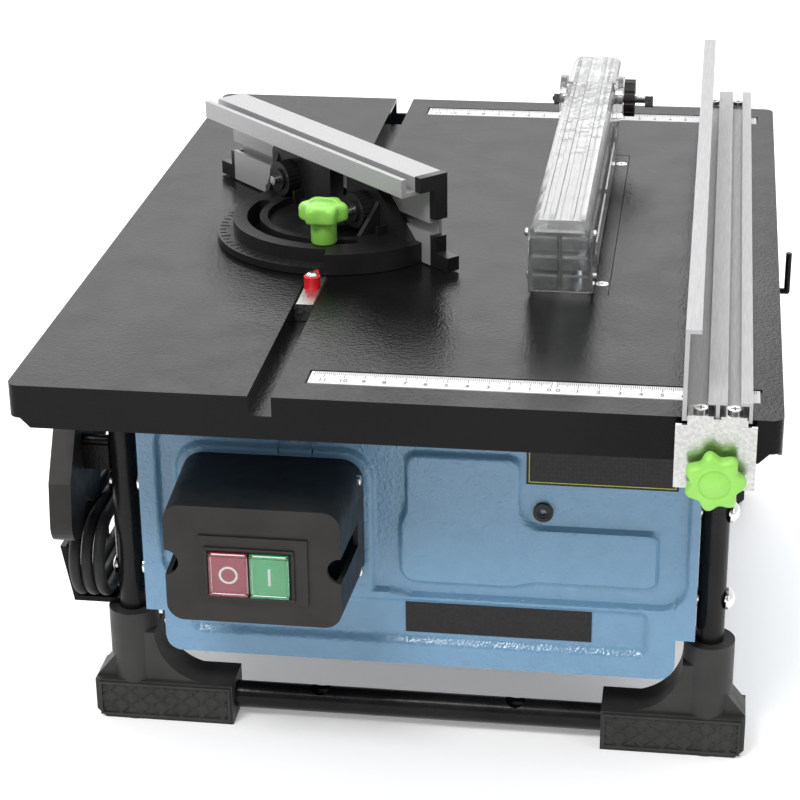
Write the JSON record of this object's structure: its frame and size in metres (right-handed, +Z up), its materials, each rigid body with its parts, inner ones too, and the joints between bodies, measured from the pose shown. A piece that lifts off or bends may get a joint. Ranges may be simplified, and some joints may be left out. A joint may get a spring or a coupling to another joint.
{
  "type": "benchtop table saw",
  "caption": "Benchtop table saw: flat steel table on a pressed cabinet and tube legs, rising motor and blade, clear guard, rip fence, miter gauge at 45 degrees.",
  "frame": {"origin": "middle of the object's box at floor level, measured without the free cord", "axes": "+Z up, +Y from the operator's side (front, with the switch) to the back, +X to the operator's right"},
  "size_m": [0.3876, 0.5282, 0.2915],
  "materials": {
    "black_enamel": "glossy black powder coat with fine orange peel",
    "leg_enamel": "glossy black enamel",
    "blue_enamel": "blue hammered enamel",
    "scale": "printed white strip",
    "screw_steel": "bright zinc",
    "bright_steel": "ground steel",
    "bracket_steel": "plain steel",
    "blade_steel": "ground steel",
    "zinc": "bright zinc plate",
    "satin_alloy": "satin anodised",
    "cast_alloy": "die cast",
    "motor_enamel": "dark grey enamel",
    "copper_lacquer": "lacquered winding",
    "foot_plastic": "fine grained dark grey",
    "black_plastic": "fine grained black",
    "gauge_plastic": "satin black",
    "green_plastic": "bright green",
    "red_plastic": "bright red",
    "red_button": "dark red",
    "green_button": "green",
    "plate_print": "blank dark plate",
    "clear_plastic": "clear moulded plastic",
    "cord_rubber": "matt black"
  },
  "bodies": {
    "frame": {"table_top": "black_enamel", "scale_strips": "scale", "throat_insert": "black_enamel", "insert_screws": "screw_steel", "front_panel": "blue_enamel", "rear_panel": "blue_enamel", "left_panel": "blue_enamel", "right_panel": "blue_enamel", "front_leg_tube": "leg_enamel", "rear_leg_tube": "leg_enamel", "front_feet": "foot_plastic", "rear_feet": "foot_plastic", "leg_bolts": "screw_steel", "switch_housing": "black_plastic", "switch_bezel": "black_plastic", "switch_core": "black_plastic", "blank_plates": "plate_print", "height_bush": "black_plastic", "guide_rods": "bright_steel", "rod_brackets": "bracket_steel", "dust_port": "black_plastic", "side_hooks": "black_enamel", "strain_relief": "cord_rubber", "cord_tail": "cord_rubber", "cord_hank": "cord_rubber", "cord_plug": "cord_rubber"},
    "carriage": {"lift_carriage": "cast_alloy", "lift_rack": "bright_steel", "motor_housing": "motor_enamel", "motor_end_cap": "black_plastic", "stator": "copper_lacquer", "bearings": "bright_steel", "shroud_left": "black_plastic", "shroud_right": "black_plastic", "riving_knife": "blade_steel"},
    "rotor": {"rotor_shaft": "bright_steel", "blade_flanges": "bright_steel", "saw_blade": "blade_steel", "arbor_nut": "bright_steel"},
    "height_drive": {"height_screw": "bright_steel", "height_pinion": "bright_steel"},
    "guard": {"guard_left": "clear_plastic", "guard_right": "clear_plastic", "guard_bolt": "screw_steel"},
    "guard_nut": {"guard_knob": "black_plastic"},
    "rip_fence": {"fence_profile": "satin_alloy", "fence_hooks": "zinc"},
    "fence_clamp": {"fence_knob": "green_plastic"},
    "gauge_runner": {"gauge_bar": "bright_steel", "gauge_pointer": "red_plastic"},
    "gauge_lock": {"gauge_knob": "green_plastic"},
    "gauge_arm": {"gauge_head": "gauge_plastic", "gauge_bolts": "screw_steel"},
    "gauge_face": {"gauge_fence": "satin_alloy", "gauge_end_caps": "gauge_plastic"},
    "thumb_left": {"thumb_knob_left": "gauge_plastic"},
    "thumb_right": {"thumb_knob_right": "gauge_plastic"},
    "button_off": {"off_button": "red_button"},
    "button_on": {"on_button": "green_button"},
    "stick": {"push_stick": "black_plastic"}
  },
  "joints": [
    {"name": "blade_lift", "type": "slide", "parent": "frame", "child": "carriage", "axis": [0, 0, 1], "range_m": [0, 0.045]},
    {"name": "blade_spin", "type": "hinge", "parent": "carriage", "child": "rotor", "pos_m": [0.0792, 0.00455, 0.135], "axis": [1, 0, 0], "continuous": true},
    {"name": "height_screw_turn", "type": "hinge", "parent": "frame", "child": "height_drive", "pos_m": [0.0707, -0.14545, 0.142], "axis": [0, 1, 0], "range_deg": [0, 260]},
    {"name": "guard_tilt", "type": "hinge", "parent": "carriage", "child": "guard", "pos_m": [0.0792, 0.15255, 0.274], "axis": [-1, 0, 0], "range_deg": [0, 17]},
    {"name": "guard_knob_turn", "type": "hinge", "parent": "guard", "child": "guard_nut", "pos_m": [0.0962, 0.15255, 0.274], "axis": [1, 0, 0], "continuous": true},
    {"name": "fence_slide", "type": "slide", "parent": "frame", "child": "rip_fence", "axis": [1, 0, 0], "range_m": [-0.026, 0.012]},
    {"name": "fence_knob_turn", "type": "hinge", "parent": "rip_fence", "child": "fence_clamp", "pos_m": [0.1566, -0.25945, 0.2125], "axis": [0, 1, 0], "continuous": true},
    {"name": "gauge_slide", "type": "slide", "parent": "frame", "child": "gauge_runner", "axis": [0, 1, 0], "range_m": [-0.12, 0.15]},
    {"name": "gauge_knob_turn", "type": "hinge", "parent": "gauge_runner", "child": "gauge_lock", "pos_m": [-0.05855, -0.06145, 0.258], "axis": [0, 0, 1], "continuous": true},
    {"name": "gauge_swivel", "type": "hinge", "parent": "gauge_runner", "child": "gauge_arm", "pos_m": [-0.05855, -0.01345, 0.243], "axis": [0, 0, 1], "range_deg": [-15, 105]},
    {"name": "gauge_face_slide", "type": "slide", "parent": "gauge_arm", "child": "gauge_face", "axis": [0.7071, -0.7071, 0], "range_m": [-0.04, 0.01]},
    {"name": "thumb_left_turn", "type": "hinge", "parent": "gauge_arm", "child": "thumb_left", "pos_m": [-0.09461, 0.01696, 0.26], "axis": [0.7071, 0.7071, 0], "continuous": true},
    {"name": "thumb_right_turn", "type": "hinge", "parent": "gauge_arm", "child": "thumb_right", "pos_m": [-0.0437, -0.03396, 0.26], "axis": [0.7071, 0.7071, 0], "continuous": true},
    {"name": "off_press", "type": "slide", "parent": "frame", "child": "button_off", "axis": [0, 1, 0], "range_m": [0, 0.003], "stiffness_N_per_m": 500},
    {"name": "on_press", "type": "slide", "parent": "frame", "child": "button_on", "axis": [0, 1, 0], "range_m": [0, 0.003], "stiffness_N_per_m": 500},
    {"name": "stick_lift_off", "type": "slide", "parent": "frame", "child": "stick", "axis": [-1, 0, 0], "range_m": [0, 0.03]}
  ],
  "couplings": [
    {"joint": "height_screw_turn", "follows": "blade_lift", "rad_per_m": 100}
  ]
}
